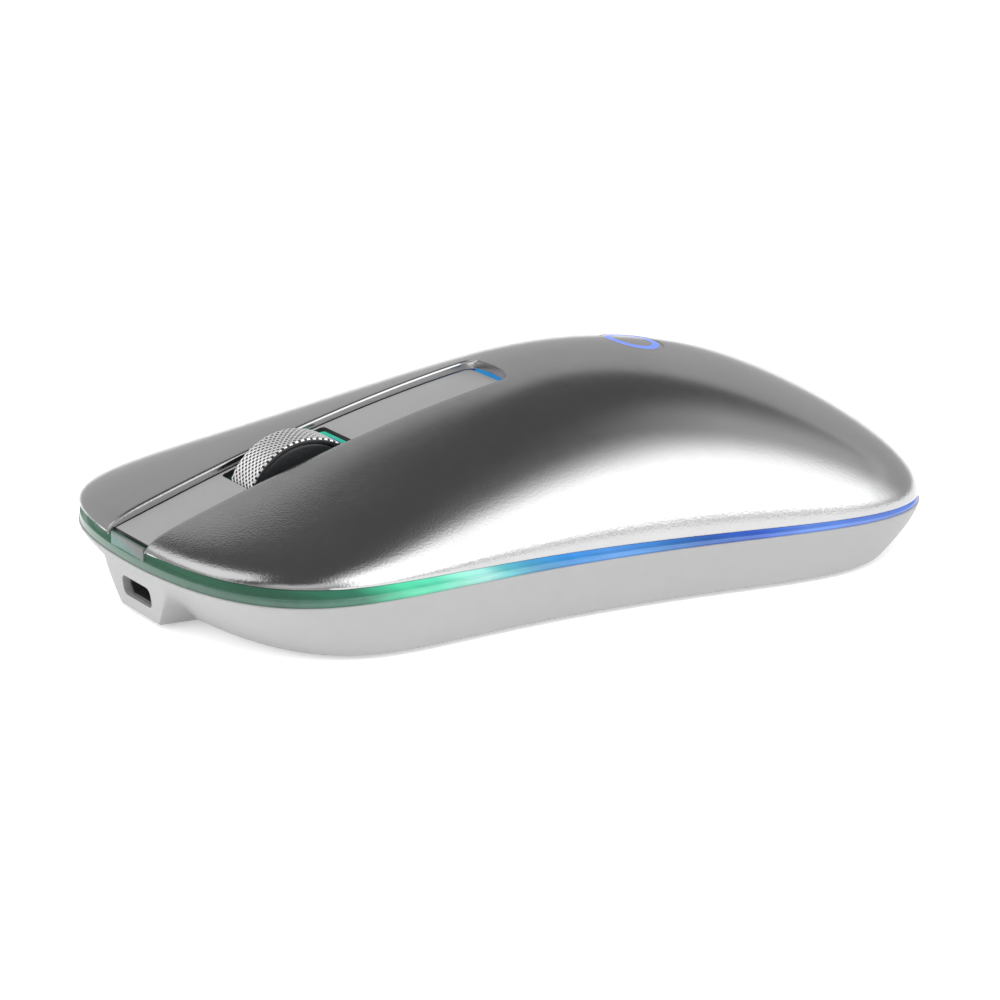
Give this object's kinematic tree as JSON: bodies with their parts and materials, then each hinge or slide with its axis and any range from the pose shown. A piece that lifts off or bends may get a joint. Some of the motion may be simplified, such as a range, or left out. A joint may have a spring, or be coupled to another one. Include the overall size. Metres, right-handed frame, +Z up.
{
  "type": "computer mouse",
  "caption": "Slim wireless mouse: low arched grey cover with two flexing buttons, knurled wheel in a sunk strip, lit band round the waist, pale base with a front charging port.",
  "frame": {"origin": "centre of the bounding box at desk level", "axes": "+Z up from the desk, nose with the charging port towards -Y, tail towards +Y, the user's left hand side towards +X when seen from the nose"},
  "size_m": [0.0624, 0.1129, 0.028],
  "materials": {
    "cover_paint": "semi-gloss",
    "lit_window": "satin",
    "strip_plastic": "matte",
    "light_guide": "frosted",
    "base_plastic": "matte",
    "port_metal": "satin",
    "black_plastic": "matte",
    "rim_metal": "knurled",
    "hub_plastic": "gloss",
    "pin_steel": "satin",
    "ivory_plastic": "matte",
    "carrier_plastic": "matte",
    "board_green": "solder mask",
    "plunger_red": "gloss",
    "battery_foil": "satin",
    "lead_red": "matte",
    "clear_lens": "clear",
    "led_white": "gloss",
    "glide_plastic": "smooth"
  },
  "bodies": {
    "chassis": {"palm_cover": "cover_paint", "palm_light_window": "lit_window", "centre_strip": "strip_plastic", "strip_light_guide": "light_guide", "light_ring": "light_guide", "base_shell": "base_plastic", "usb_shell": "port_metal", "usb_tongue": "black_plastic", "carrier_pin": "pin_steel", "wheel_bracket": "port_metal", "main_pcb": "board_green", "left_switch": "black_plastic", "right_switch": "black_plastic", "middle_switch": "black_plastic", "battery": "battery_foil", "battery_lead": "lead_red", "sensor_chip": "black_plastic", "sensor_lens": "clear_lens", "controller_chip": "black_plastic", "band_leds": "led_white", "mark_light_board": "board_green", "power_switch_body": "port_metal", "glide_feet": "glide_plastic", "case_screws": "pin_steel", "pcb_screws": "pin_steel"},
    "left_finger": {"left_button": "cover_paint"},
    "right_finger": {"right_button": "cover_paint"},
    "wheel_cradle": {"wheel_carrier": "carrier_plastic", "encoder_body": "black_plastic"},
    "wheel": {"wheel_rim": "rim_metal", "wheel_hub": "hub_plastic", "wheel_axle": "pin_steel", "encoder_rotor": "ivory_plastic"},
    "left_plunger_b": {"left_plunger": "plunger_red"},
    "right_plunger_b": {"right_plunger": "plunger_red"},
    "middle_plunger_b": {"middle_plunger": "plunger_red"},
    "power_knob": {"power_slider": "black_plastic"}
  },
  "joints": [
    {"name": "left_button_flex", "type": "hinge", "parent": "chassis", "child": "left_finger", "pos_m": [0, -0.0025, 0.0256], "axis": [1, 0, 0], "range_deg": [0, 0.7], "stiffness_Nm_per_rad": 1.2},
    {"name": "right_button_flex", "type": "hinge", "parent": "chassis", "child": "right_finger", "pos_m": [0, -0.0025, 0.0256], "axis": [1, 0, 0], "range_deg": [0, 0.7], "stiffness_Nm_per_rad": 1.2},
    {"name": "carrier_tilt", "type": "hinge", "parent": "chassis", "child": "wheel_cradle", "pos_m": [0, -0.0145, 0.0105], "axis": [1, 0, 0], "range_deg": [0, 1.25], "stiffness_Nm_per_rad": 0.6},
    {"name": "wheel_spin", "type": "hinge", "parent": "wheel_cradle", "child": "wheel", "pos_m": [0, -0.0314, 0.01214], "axis": [1, 0, 0], "continuous": true},
    {"name": "left_plunger_press", "type": "slide", "parent": "chassis", "child": "left_plunger_b", "axis": [0, 0, -1], "range_m": [0, 0.00047]},
    {"name": "right_plunger_press", "type": "slide", "parent": "chassis", "child": "right_plunger_b", "axis": [0, 0, -1], "range_m": [0, 0.00047]},
    {"name": "middle_plunger_press", "type": "slide", "parent": "chassis", "child": "middle_plunger_b", "axis": [0, 0, -1], "range_m": [0, 0.00034]},
    {"name": "power_slide", "type": "slide", "parent": "chassis", "child": "power_knob", "axis": [1, 0, 0], "range_m": [0, 0.002]}
  ],
  "couplings": [
    {"joint": "left_plunger_press", "follows": "left_button_flex", "m_per_rad": 0.03773},
    {"joint": "right_plunger_press", "follows": "right_button_flex", "m_per_rad": 0.03773},
    {"joint": "middle_plunger_press", "follows": "carrier_tilt", "m_per_rad": 0.0147}
  ]
}
